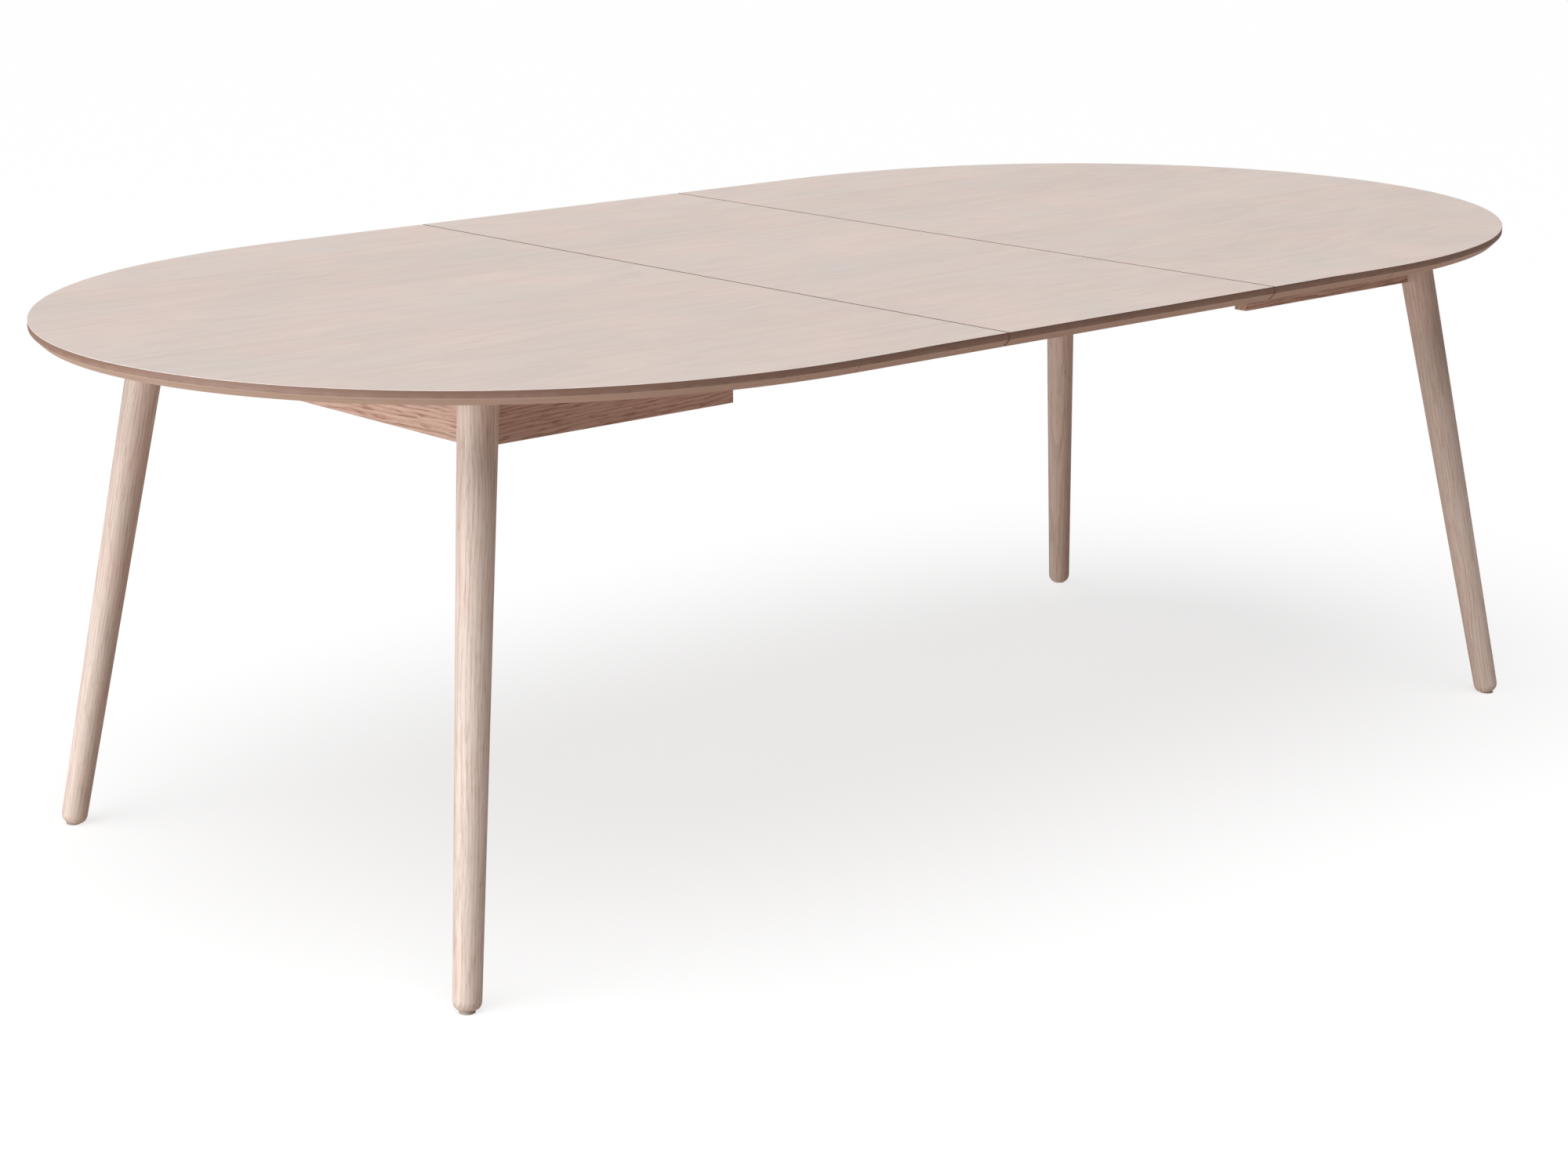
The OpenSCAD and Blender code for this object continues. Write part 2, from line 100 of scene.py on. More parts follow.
def new_object(name, bm, body, slot, cad_node):
    """Makes a bmesh into a piece that rides on a body and stands for one CAD node."""
    bmesh.ops.recalc_face_normals(bm, faces=bm.faces)
    mesh = bpy.data.meshes.new(name)
    bm.to_mesh(mesh)
    bm.free()
    obj = add_to_scene(name, mesh)
    mesh.materials.append(MATERIALS[slot])
    for polygon in mesh.polygons:
        polygon.use_smooth = True
    mesh.set_sharp_from_angle(angle=SMOOTH_ANGLE)
    flat = obj.modifiers.new("flat_faces", "WEIGHTED_NORMAL")
    flat.keep_sharp = True
    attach(obj, body)
    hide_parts(cad_node)
    return obj


def set_grain(obj, axes, offset):
    """Stores each point's place in its board: along the grain, across it, and into it."""
    along, across, into = (Vector(a) for a in axes)
    shift = Vector(offset)
    layer = obj.data.attributes.new("grain", "FLOAT_VECTOR", "POINT")
    for vertex in obj.data.vertices:
        p = vertex.co
        layer.data[vertex.index].vector = (
            p.dot(along) + shift.x, p.dot(across) + shift.y, p.dot(into) + shift.z
        )


def set_round_grain(obj, sign):
    """Grain that follows a bent lipping: along its curve, in from its edge, and up."""
    layer = obj.data.attributes.new("grain", "FLOAT_VECTOR", "POINT")
    centre_x = sign * (SEAM_X + END_C)
    for vertex in obj.data.vertices:
        p = vertex.co
        dx, dy = (p.x - centre_x) * sign, p.y
        angle = math.atan2(dy, dx)
        layer.data[vertex.index].vector = (angle * END_R + sign * 4.0, math.hypot(dx, dy), p.z)


def set_wear_and_painted_light(obj, level):
    """Marks points: 1 on a handled edge, where the finish is thinnest, and below 0 down a seam, where
    shade is painted. On the veneer's eased top edge the 1 also paints a highlight.
    """
    layer = obj.data.attributes.new("wear_and_painted_light", "FLOAT", "POINT")
    for vertex in obj.data.vertices:
        layer.data[vertex.index].value = float(level(vertex.co))


def sweep(rings):
    """Joins equal rings of points into a closed solid with flat ends."""
    bm = bmesh.new()
    loops = [[bm.verts.new(p) for p in ring] for ring in rings]
    count = len(loops[0])
    for a, b in zip(loops, loops[1:]):
        for i in range(count):
            j = (i + 1) % count
            bm.faces.new((a[i], a[j], b[j], b[i]))
    bm.faces.new(list(reversed(loops[0])))
    bm.faces.new(loops[-1])
    return bm


def on_side(bm, sign):
    """Turns a mesh made for the right half into its mirror image when it's for the left one."""
    if sign < 0:
        bmesh.ops.transform(bm, matrix=Matrix.Scale(-1, 4, (1, 0, 0)), verts=bm.verts)
        bmesh.ops.reverse_faces(bm, faces=bm.faces)
    return bm


# ---- Materials ----


def linear(r, g, b):
    """A linear colour from 8-bit display values."""
    def one(c):
        c = c / 255
        return c / 12.92 if c <= 0.04045 else ((c + 0.055) / 1.055) ** 2.4
    return (one(r), one(g), one(b), 1.0)


class Nodes:
    """A short way to write a material's node tree."""

    def __init__(self, name):
        self.material = bpy.data.materials.new(name)
        self.material.use_nodes = True
        self.tree = self.material.node_tree
        self.tree.nodes.clear()
        self.out = self.tree.nodes.new("ShaderNodeOutputMaterial")
        self.shader = self.tree.nodes.new("ShaderNodeBsdfPrincipled")
        self.link(self.shader.outputs[0], self.out.inputs["Surface"])

    def link(self, a, b):
        self.tree.links.new(a, b)

    def put(self, value, socket):
        if isinstance(value, bpy.types.NodeSocket):
            self.link(value, socket)
        else:
            socket.default_value = value

    def math(self, operation, a, b=0.0, clamp=False):
        node = self.tree.nodes.new("ShaderNodeMath")
        node.operation = operation
        node.use_clamp = clamp
        self.put(a, node.inputs[0])
        self.put(b, node.inputs[1])
        return node.outputs[0]

    def plus(self, value, *marks):
        """Adds to a value each mark times its share."""
        for mark, share in marks:
            value = self.math("ADD", value, self.math("MULTIPLY", mark, share))
        return value

    def centred(self, value):
        """Moves a value that lies around a half to lie around zero."""
        return self.math("SUBTRACT", value, 0.5)

    def stretch(self, v, factors):
        node = self.tree.nodes.new("ShaderNodeVectorMath")
        node.operation = "MULTIPLY"
        self.put(v, node.inputs[0])
        self.put(factors, node.inputs[1])
        return node.outputs[0]

    def split(self, v):
        node = self.tree.nodes.new("ShaderNodeSeparateXYZ")
        self.put(v, node.inputs[0])
        return node.outputs

    def join(self, x, y, z):
        node = self.tree.nodes.new("ShaderNodeCombineXYZ")
        for value, socket in zip((x, y, z), node.inputs):
            self.put(value, socket)
        return node.outputs[0]

    def attribute(self, name, output="Vector"):
        node = self.tree.nodes.new("ShaderNodeAttribute")
        node.attribute_name = name
        return node.outputs[output]

    def place(self):
        return self.tree.nodes.new("ShaderNodeTexCoord").outputs["Object"]

    def normal(self):
        """The three parts of the surface's normal."""
        return self.split(self.tree.nodes.new("ShaderNodeNewGeometry").outputs["Normal"])

    def noise(self, v, scale=1.0, detail=2.0, roughness=0.5, distortion=0.0):
        node = self.tree.nodes.new("ShaderNodeTexNoise")
        self.put(v, node.inputs["Vector"])
        node.inputs["Scale"].default_value = scale
        node.inputs["Detail"].default_value = detail
        node.inputs["Roughness"].default_value = roughness
        node.inputs["Distortion"].default_value = distortion
        return node.outputs["Fac"]

    def chips(self, v, scale):
        """Small cells, each with a colour of its own."""
        node = self.tree.nodes.new("ShaderNodeTexVoronoi")
        self.put(v, node.inputs["Vector"])
        node.inputs["Scale"].default_value = scale
        return node.outputs["Color"]

    def white_noise(self, value):
        node = self.tree.nodes.new("ShaderNodeTexWhiteNoise")
        node.noise_dimensions = "1D"
        self.put(value, node.inputs["W"])
        return node.outputs["Value"]

    def ramp(self, value, stops):
        """Maps a value through (position, level) stops. A level is a grey or an RGB triple."""
        node = self.tree.nodes.new("ShaderNodeValToRGB")
        self.put(value, node.inputs[0])
        elements = node.color_ramp.elements
        while len(elements) < len(stops):
            elements.new(0.5)
        for element, (position, level) in zip(elements, stops):
            rgb = level if isinstance(level, tuple) else (level, level, level)
            element.position = position
            element.color = (*rgb, 1.0)
        return node.outputs[0]

    def mix(self, factor, a, b, blend="MIX"):
        node = self.tree.nodes.new("ShaderNodeMix")
        node.data_type = "RGBA"
        node.blend_type = blend
        self.put(factor, node.inputs[0])
        self.put(a, node.inputs[6])
        self.put(b, node.inputs[7])
        return node.outputs[2]

    def bump(self, height, strength, distance):
        node = self.tree.nodes.new("ShaderNodeBump")
        node.inputs["Strength"].default_value = strength
        node.inputs["Distance"].default_value = distance
        self.put(height, node.inputs["Height"])
        self.link(node.outputs[0], self.shader.inputs["Normal"])

    def finish(self, colour, roughness, **constants):
        self.put(colour, self.shader.inputs["Base Color"])
        self.put(roughness, self.shader.inputs["Roughness"])
        for name, value in constants.items():
            self.shader.inputs[name.replace("_", " ")].default_value = value
        return self.material


# Where a board's log is, in metres, and how the veneer leaves differ in it.
HEART_DEPTH = 0.035                  # from the board's face down to the heart of the log
LOG_TILT = 0.011                     # rise of the heart along the board
RING_WAVER = 0.028                   # how far the growth rings wander in and out
LEAF_SHIFT = (7.0, 0.12, 0.09)       # spread of the leaves along, across and into the log
LATE_WOOD = [(0.0, 0.15), (0.35, 0.0), (0.8, 0.75), (0.93, 1.0), (1.0, 0.2)]   # darkness over a year


def veneer_leaves(n, grain, strip):
    """Cuts the veneer into leaves, each from another place in the log.

    Returns the place in the log, the leaf's own chance number, and the place across the leaf."""
    x, y, z = n.split(grain)
    cell = n.math("DIVIDE", y, strip)
    chance = n.white_noise(n.math("FLOOR", cell))
    across = n.math("MULTIPLY", n.centred(n.math("FRACT", cell)), strip)
    log_x = n.plus(x, (chance, LEAF_SHIFT[0]))
    log_y = n.plus(across, (n.centred(chance), LEAF_SHIFT[1]))
    log_z = n.plus(z, (chance, LEAF_SHIFT[2]))
    return n.join(log_x, log_y, log_z), chance, across


def growth_rings(n, board, ring, wander):
    """The dark late wood of each year, in a log whose heart lies under the board."""
    x, y, z = n.split(board)
    waver = n.noise(n.stretch(board, (2.2, 9.0, 9.0)), detail=3.0)
    fine_waver = n.noise(n.stretch(board, (9.0, 40.0, 40.0)), detail=2.0)
    heart = n.plus(n.math("ADD", z, HEART_DEPTH), (x, LOG_TILT))
    radius = n.math("SQRT", n.plus(n.math("MULTIPLY", y, y), (heart, heart)))
    radius = n.plus(radius, (waver, RING_WAVER), (fine_waver, wander))
    years = n.math("DIVIDE", radius, ring)
    late_wood = n.ramp(n.math("FRACT", years), LATE_WOOD)
    strength = n.noise(n.join(years, n.math("MULTIPLY", x, 0.6), 0.0), scale=0.55)
    return n.math("MULTIPLY", late_wood, n.math("MULTIPLY", strength, 1.6))


def open_pores(n, board, rings):
    """Short fine lines, more of them in the dark part of each ring."""
    pores = n.noise(n.stretch(board, (38.0, 1500.0, 1500.0)), detail=2.0, roughness=0.7)
    pores = n.ramp(pores, [(0.56, 0.0), (0.7, 1.0)])
    return n.math("MULTIPLY", pores, n.math("ADD", n.math("MULTIPLY", rings, 0.7), 0.4))


def long_streaks(n, board, factors):
    streaks = n.noise(n.stretch(board, factors), detail=4.0, roughness=0.62)
    return n.ramp(streaks, [(0.33, 0.0), (0.72, 1.0)])


def ray_flecks(n, board):
    flecks = n.noise(n.stretch(board, (26.0, 210.0, 210.0)), detail=3.0, distortion=0.6)
    return n.ramp(flecks, [(0.54, 0.0), (0.66, 1.0)])


def leaf_tones(n, colour, chance, across, strip, dark):
    """A slight tone for each leaf of veneer, and a fine dark joint between two leaves."""
    tone = n.ramp(chance, [(0.0, 0.975), (1.0, 1.015)])
    colour = n.mix(1.0, colour, tone, "MULTIPLY")
    side = n.math("ABSOLUTE", n.math("DIVIDE", across, strip))
    mm_to_joint = n.math("MULTIPLY", n.math("SUBTRACT", 0.5, side), strip * 1000.0)
    line = n.ramp(mm_to_joint, [(0.3, 1.0), (1.0, 0.0)])
    return n.mix(n.math("MULTIPLY", line, 0.45), colour, dark)


def stained_and_shaded_edges(n, colour, depth, edge):
    """Darkens the faces that stand upright, partly as a stained edging and partly as painted shade, and
    paints shade on the edges that turn down into a seam.
    """
    # upright faces get the edge colour: partly a stained edging, partly painted shade
    upright = n.ramp(n.math("ABSOLUTE", n.normal()[2]), [(0.3, 1.0), (0.5, 0.0)])
    edge_grain = n.mix(1.0, edge, (0.5, 0.47, 0.45, 1.0), "MULTIPLY")
    stain_and_shade = n.mix(n.math("MULTIPLY", depth, 0.45), edge, edge_grain)
    # painted shade on the eased edges that turn down into a seam
    seam_shade = n.math("MULTIPLY", n.attribute("wear_and_painted_light", "Fac"), -1.0, clamp=True)
    return n.mix(n.math("MAXIMUM", upright, seam_shade), colour, stain_and_shade)


def worn_and_highlit_edges(n, colour, grain, pale, wear_and_highlight_mix):
    """Lets a paler wood through on the handled edges, unevenly: real rubbing, and on the veneer's eased
    top edge a painted highlight.
    """
    wear_and_painted_light = n.math("MAXIMUM", n.attribute("wear_and_painted_light", "Fac"), 0.0)
    rub = n.noise(grain, scale=55.0, detail=3.0)
    # the paler edge amount: partly rubbing, partly a painted highlight
    worn_and_highlit = n.math("MULTIPLY", wear_and_painted_light, n.ramp(rub, [(0.35, 0.1 * wear_and_highlight_mix), (0.65, wear_and_highlight_mix)]))
    return n.mix(worn_and_highlit, colour, n.mix(0.4, pale, (1.0, 0.97, 0.94, 1.0)))


def oak(name, pale, dark, ring=0.0045, ring_mix=0.35, streak_mix=0.3, pore_mix=0.35, fleck_mix=0.0,
        cloud_mix=0.2, wander=0.0025, streak=(5.0, 330.0, 330.0), strip=0.0, mottle=0.5, rough=0.5,
        wear_and_highlight_mix=0.4, edge=None):
    """Whitewashed oak. The mixes say how much each mark darkens the pale wood.

    strip is the width of the veneer leaves, or 0 for a solid board. edge is the colour of the
    faces that stand upright, partly stained and partly painted shade, and of the painted shade down the
    seams."""
    n = Nodes(name)
    grain = n.attribute("grain")
    board = grain
    if strip:
        board, chance, across = veneer_leaves(n, grain, strip)
    rings = growth_rings(n, board, ring, wander)
    streaks = long_streaks(n, board, streak)
    pores = open_pores(n, board, rings)
    flecks = ray_flecks(n, board)
    blotch = n.noise(grain, scale=6.5, detail=3.0)
    cloud = n.noise(n.stretch(grain, (1.0, 3.0, 3.0)), scale=1.7, detail=2.0)

    depth = n.plus(n.math("MULTIPLY", rings, ring_mix), (streaks, streak_mix), (pores, pore_mix),
                   (flecks, fleck_mix))
    depth = n.math("ADD", depth, n.math("MULTIPLY", n.centred(cloud), cloud_mix), clamp=True)
    colour = n.mix(depth, pale, dark)
    warm = n.ramp(blotch, [(0.3, (0.97, 1.0, 1.02)), (0.7, (1.03, 0.985, 0.975))])
    colour = n.mix(mottle, colour, n.mix(1.0, colour, warm, "MULTIPLY"))
    if strip:
        colour = leaf_tones(n, colour, chance, across, strip, dark)
    # upright faces and seam edges darkened: partly stained, partly painted shade
    if edge:
        colour = stained_and_shaded_edges(n, colour, depth, edge)
    # paler rubbed edges, with a painted highlight on the veneer's eased top edge
    colour = worn_and_highlit_edges(n, colour, grain, pale, wear_and_highlight_mix)

    roughness = n.plus(rough, (pores, 0.18), (n.centred(blotch), 0.12))
    height = n.math("SUBTRACT", n.math("MULTIPLY", rings, -0.25), pores)
    n.bump(height, 0.35, 0.00025)
    return n.finish(colour, roughness, Specular_IOR_Level=0.4)


def particle_board(name):
    """Pressed chips at the cut edges, dark bands on the seam faces that also paint the shade inside the
    seams, and a pale veneer underneath.
    """
    n = Nodes(name)
    place = n.place()
    shade = n.split(n.chips(n.stretch(place, (1.0, 1.0, 2.2)), 420.0))[0]
    grit = n.noise(place, scale=900.0, detail=3.0)
    chip_colour = n.mix(shade, linear(176, 146, 108), linear(214, 190, 152))
    chip_colour = n.mix(n.math("MULTIPLY", grit, 0.35), chip_colour, linear(120, 92, 62))

    streaks = n.noise(n.stretch(place, (5.0, 260.0, 260.0)), detail=4.0, roughness=0.6)
    pores = n.noise(n.stretch(place, (40.0, 1300.0, 1300.0)), detail=2.0)
    pores = n.ramp(pores, [(0.56, 0.0), (0.7, 1.0)])
    depth = n.plus(n.math("MULTIPLY", streaks, 0.55), (pores, 0.3))
    veneer = n.mix(depth, linear(214, 198, 188), linear(168, 140, 122))
    # dark bands on the seam faces, which also paint the shade inside the seams
    seam_banding_and_shade = n.mix(streaks, linear(112, 84, 70), linear(84, 60, 48))

    normal = n.normal()
    faces_up_or_down = n.math("GREATER_THAN", n.math("ABSOLUTE", normal[2]), 0.7)
    faces_seam = n.math("GREATER_THAN", n.math("ABSOLUTE", normal[0]), 0.9)
    colour = n.mix(faces_up_or_down, chip_colour, veneer)
    colour = n.mix(faces_seam, colour, seam_banding_and_shade)
    n.bump(n.plus(grit, (pores, -0.5)), 0.3, 0.0003)
    return n.finish(colour, n.plus(0.62, (grit, 0.2)), Specular_IOR_Level=0.35)


def metal(name, colour, lines_along, rough, mottle=0.1):
    """Drawn or plated metal: fine lines along one way, and a faint cloudiness."""
    n = Nodes(name)
    place = n.place()
    lines = n.noise(n.stretch(place, lines_along), detail=3.0, roughness=0.6)
    cloud = n.noise(place, scale=38.0, detail=4.0)
    tint = n.plus(n.math("MULTIPLY", lines, 0.12), (cloud, mottle))
    deep = (colour[0] * 0.45, colour[1] * 0.45, colour[2] * 0.47, 1.0)
    n.bump(lines, 0.12, 0.00008)
    return n.finish(n.mix(tint, colour, deep), n.plus(rough, (lines, 0.16), (cloud, 0.1)), Metallic=1.0)


def nylon(name, colour):
    n = Nodes(name)
    place = n.place()
    grit = n.noise(place, scale=1400.0, detail=2.0)
    cloud = n.noise(place, scale=60.0, detail=2.0)
    scuffed = tuple(min(c * 1.5, 1.0) for c in colour[:3]) + (1.0,)
    shade = n.mix(n.math("MULTIPLY", cloud, 0.5), colour, scuffed)
    n.bump(grit, 0.2, 0.00006)
    return n.finish(shade, n.plus(0.42, (grit, 0.15)))


def felt(name):
    n = Nodes(name)
    place = n.place()
    fibres = n.noise(place, scale=1600.0, detail=4.0, roughness=0.8, distortion=1.2)
    clumps = n.noise(place, scale=240.0, detail=3.0)
    shade = n.mix(fibres, linear(96, 90, 84), linear(138, 130, 122))
    shade = n.mix(n.math("MULTIPLY", clumps, 0.4), shade, linear(78, 72, 68))
    n.bump(n.math("ADD", fibres, clumps), 0.6, 0.0006)
    return n.finish(shade, 0.95, Sheen_Weight=0.35, Sheen_Roughness=0.5)


MATERIALS = {
    "oak_veneer": oak(
        "oak_veneer", linear(236, 223, 215), linear(207, 185, 173), ring=0.006, ring_mix=0.12,
        streak_mix=0.3, pore_mix=0.3, fleck_mix=0.12, cloud_mix=0.14, strip=0.24, mottle=0.9,
        # edge colour: darker veneer edges, and painted shade down the seams
        rough=0.5, wear_and_highlight_mix=0.15, edge=linear(96, 72, 60),
    ),
    "oak_lipping": oak(
        "oak_lipping", linear(202, 177, 160), linear(166, 134, 116), ring=0.005, ring_mix=0.25,
        # edge colour: the band partly stained and partly painted shade
        streak_mix=0.35, pore_mix=0.3, rough=0.5, wear_and_highlight_mix=0.12, edge=linear(144, 114, 99),
    ),
    "oak_frame": oak(
        "oak_frame", linear(222, 192, 177), linear(134, 90, 68), ring=0.0056, ring_mix=0.46,
        streak_mix=0.4, pore_mix=0.55, fleck_mix=0.34, wander=0.015, streak=(13.0, 420.0, 420.0),
        rough=0.52, wear_and_highlight_mix=0.25,
    ),
    "oak_legs": oak(
        "oak_legs", linear(232, 219, 209), linear(164, 128, 108), ring=0.0042, ring_mix=0.24,
        streak_mix=0.34, pore_mix=0.5, fleck_mix=0.16, wander=0.006, streak=(14.0, 520.0, 520.0),
        rough=0.48, wear_and_highlight_mix=0.3,
    ),
    "block_wood": oak(
        "block_wood", linear(222, 196, 158), linear(176, 134, 92), ring=0.004, ring_mix=0.7,
        streak_mix=0.25, pore_mix=0.2, rough=0.6,
    ),
    "core_board": particle_board("core_board"),
    "slide_alloy": metal("slide_alloy", linear(214, 216, 219), (8.0, 900.0, 900.0), 0.24),
    "zinc_steel": metal("zinc_steel", linear(196, 199, 203), (700.0, 20.0, 700.0), 0.3, mottle=0.3),
    "black_nylon": nylon("black_nylon", linear(38, 38, 40)),
    "glide_nylon": nylon("glide_nylon", linear(176, 164, 154)),
    "felt": felt("felt"),
}

# ---- Table tops ----


def arc(cx, cy, r, a0, a1, steps):
    angles = [a0 + (a1 - a0) * i / steps for i in range(steps + 1)]
    return [(cx + r * math.cos(a), cy + r * math.sin(a)) for a in angles]


def end_curve(inset):
    """The curved stretch of a right half's edge, from the front joint round to the back joint."""
    back = arc(STRAIGHT_L, SHOULDER_C, SHOULDER_R - inset, math.pi / 2, BLEND_A, SHOULDER_STEPS)
    end = arc(END_C, 0.0, END_R - inset, BLEND_A, -BLEND_A, END_STEPS)
    front = [(x, -y) for x, y in reversed(back)]
    curve = back + end[1:-1] + front
    return [(SEAM_X + x, y) for x, y in reversed(curve)]


def half_plan(inset):
    """The whole edge of a right half's veneer, seam edge included."""
    face = SEAM_FACE + inset * SEAM_EASE
    edge = HALF_W - inset
    return [(face, -edge)] + end_curve(inset) + [(face, edge)]


def leaf_plan(inset):
    x = LEAF_FACE - inset * SEAM_EASE
    y = HALF_W - inset
    return [(-x, -y), (x, -y), (x, y), (-x, y)]


def veneer_sheet(plan):
    """A sheet of veneer with an eased upper edge. plan gives its outline for an inset."""
    section = [(0.0, VENEER_Z)]
    for a in (math.radians(d) for d in (0, 22.5, 45, 67.5, 90)):
        section.append((VENEER_EASE * (1 - math.cos(a)), TOP_Z - VENEER_EASE * (1 - math.sin(a))))
    return sweep([[(x, y, z) for x, y in plan(inset)] for inset, z in section])


def lipping_profile():
    """Section of the lipping as (inset, height), from the top of its band round to its inner side."""
    turn = ARRIS * math.tan(math.radians(22.5))
    slope = turn / math.sqrt(2)
    return [
        (0.0, VENEER_Z),
        (0.0, WORN_UP_TO),
        (0.0, BAND_Z + turn),
        (slope * 0.25, BAND_Z),
        (slope, BAND_Z - slope),
        (BEVEL * 0.5, BAND_Z - BEVEL * 0.5),
        (BEVEL - slope, UNDER_Z + slope),
        (BEVEL, UNDER_Z + slope * 0.25),
        (BEVEL + turn, UNDER_Z),
        (CORE_EDGE, UNDER_Z),
        (CORE_EDGE, VENEER_Z),
    ]


def eased_profile():
    """The section pulled in a little on its visible sides, for the end of a piece of lipping."""
    result = []
    for inset, z in lipping_profile():
        visible = inset < CORE_EDGE
        below = visible and z < WORN_UP_TO
        result.append((inset + JOINT_EASE * visible, z + JOINT_EASE * below))
    return result


def end_lipping():
    """The bent lipping round a right half's end."""
    def rings(profile):
        curves = [end_curve(inset) for inset, _ in profile]
        return [[(x, y, z) for (x, y), (_, z) in zip(points, profile)] for points in zip(*curves)]

    body = rings(lipping_profile())
    eased = rings(eased_profile())
    for end in (0, -1):
        body[end] = [(x + JOINT_EASE, y, z) for x, y, z in body[end]]
    return sweep([eased[0]] + body + [eased[-1]])


def straight_lipping(x0, x1, sign):
    def ring(x, profile):
        return [(x, sign * (HALF_W - inset), z) for inset, z in profile]

    profile = lipping_profile()
    length = x1 - x0 - 2 * JOINT_EASE
    cuts = [x0 + JOINT_EASE + length * i / LIPPING_CUTS for i in range(LIPPING_CUTS + 1)]
    body = [ring(x, profile) for x in cuts]
    return sweep([ring(x0, eased_profile())] + body + [ring(x1, eased_profile())])


SEAM_SHADE_MARK = -3              # painted shade mark down a seam; past -1 the dark starts nearer the top


def top_edge_wear_highlight_and_seam_shade(p):
    """Worn on the eased edge of the veneer, with a painted highlight there, and painted shade where
    that edge turns down into a seam.
    """
    at_seam = abs(abs(p.x) - SEAM_X) < 2 * ARRIS
    if p.z > TOP_Z - 0.00001:
        return 0
    return SEAM_SHADE_MARK if at_seam else p.z > TOP_Z - ARRIS


def rim_edge_wear(p):
    """Worn on the eased line between the upright band and the bevel."""
    return abs(p.z - BAND_Z) < ARRIS


BOARD_AXES = ((1, 0, 0), (0, 1, 0), (0, 0, 1))


def build_veneer(name, plan, sign, body, cad_node, offset):
    top = new_object(name, on_side(veneer_sheet(plan), sign), body, "oak_veneer", cad_node)
    set_grain(top, BOARD_AXES, offset)
    set_wear_and_painted_light(top, top_edge_wear_highlight_and_seam_shade)


def build_straight_rim(name, bm, body, cad_node, offset):
    rim = new_object(name, bm, body, "oak_lipping", cad_node)
    set_grain(rim, BOARD_AXES, offset)
    set_wear_and_painted_light(rim, rim_edge_wear)


def build_half_top(side, sign):
    body = side + "_half"
    offset = (0.3 + sign, 0.045, 0.0)
    build_veneer(side + "_veneer", half_plan, sign, body, side + "_top_veneer", offset)
    bent = on_side(end_lipping(), sign)
    rim = new_object(side + "_end_rim", bent, body, "oak_lipping", side + "_end_lipping")
    set_round_grain(rim, sign)
    set_wear_and_painted_light(rim, rim_edge_wear)
    for face, way in FACES.items():
        bm = on_side(straight_lipping(SEAM_FACE, LIPPING_JOINT_X, way), sign)
        offset = (sign * 2.0, way * 0.31, 0.01)
        build_straight_rim(f"{side}_{face}_rim", bm, body, f"{side}_{face}_lipping", offset)


def build_leaf_top():
    build_veneer("leaf_top", leaf_plan, 1, "leaf", "leaf_veneer", (5.3, 0.045, 0.0))
    for face, way in FACES.items():
        bm = straight_lipping(-LEAF_FACE, LEAF_FACE, way)
        offset = (3.7, way * 0.17, 0.02)
        build_straight_rim(f"leaf_{face}_rim", bm, "leaf", f"leaf_{face}_lipping", offset)


def build_tops():
    for side, sign in SIDES.items():
        build_half_top(side, sign)
    build_leaf_top()


# ---- Legs ----

LEG_TOP_R = 0.0255
LEG_FOOT_R = 0.01775
LEG_SPARE = 0.030         # the taper is set out over a blank that is this much longer
LEG_NECK = 0.02           # the last cut round a leg is this far below its top
LEG_CUTS = 36
LEG_SIDES = 72
FOOT_TIP_R = 0.010
FOOT_ROUND = 0.012
GLIDE_T = 0.003
LEG_TOP_X = 0.8683
LEG_TOP_Y = 0.3650
FOOT_WEAR = 0.004         # a foot is scuffed up to this height


def leg_radius(t):
    """Radius of a leg at a share t of its blank, above the rounded foot."""
    return LEG_FOOT_R + (LEG_TOP_R - LEG_FOOT_R) * t


def leg_rings(length):
    """The (radius, height) of each cut round a leg, from its foot to just below its top."""
    rings = []
    for a in (math.radians(d) for d in range(0, 91, 10)):
        radius = FOOT_TIP_R + (leg_radius(0) - FOOT_TIP_R) * math.sin(a)
        rings.append((radius, FOOT_ROUND * (1 - math.cos(a))))
    taper = length + LEG_SPARE - FOOT_ROUND
    straight = length - LEG_NECK - FOOT_ROUND
    for i in range(1, LEG_CUTS):
        h = straight * i / LEG_CUTS
        rings.append((leg_radius(h / taper), FOOT_ROUND + h))
    return rings


def leg_mesh(foot, top, matrix):
    """Turned leg in its own frame, standing on its foot and cut level at its top."""
    length = (top - foot).length
    angles = [k * math.tau / LEG_SIDES for k in range(LEG_SIDES)]
    rings = [[(r * math.cos(a), r * math.sin(a), h) for a in angles] for r, h in leg_rings(length)]
    to_local = matrix.inverted()
    up = to_local.to_3x3() @ Vector((0, 0, 1))
    level = (to_local @ Vector((0, 0, UNDER_Z))).dot(up)
    top_r = leg_radius((length - FOOT_ROUND) / (length + LEG_SPARE - FOOT_ROUND))
    cut = []
    for a in angles:
        x, y = top_r * math.cos(a), top_r * math.sin(a)
        cut.append((x, y, (level - up.x * x - up.y * y) / up.z))
    return sweep(rings + [cut])


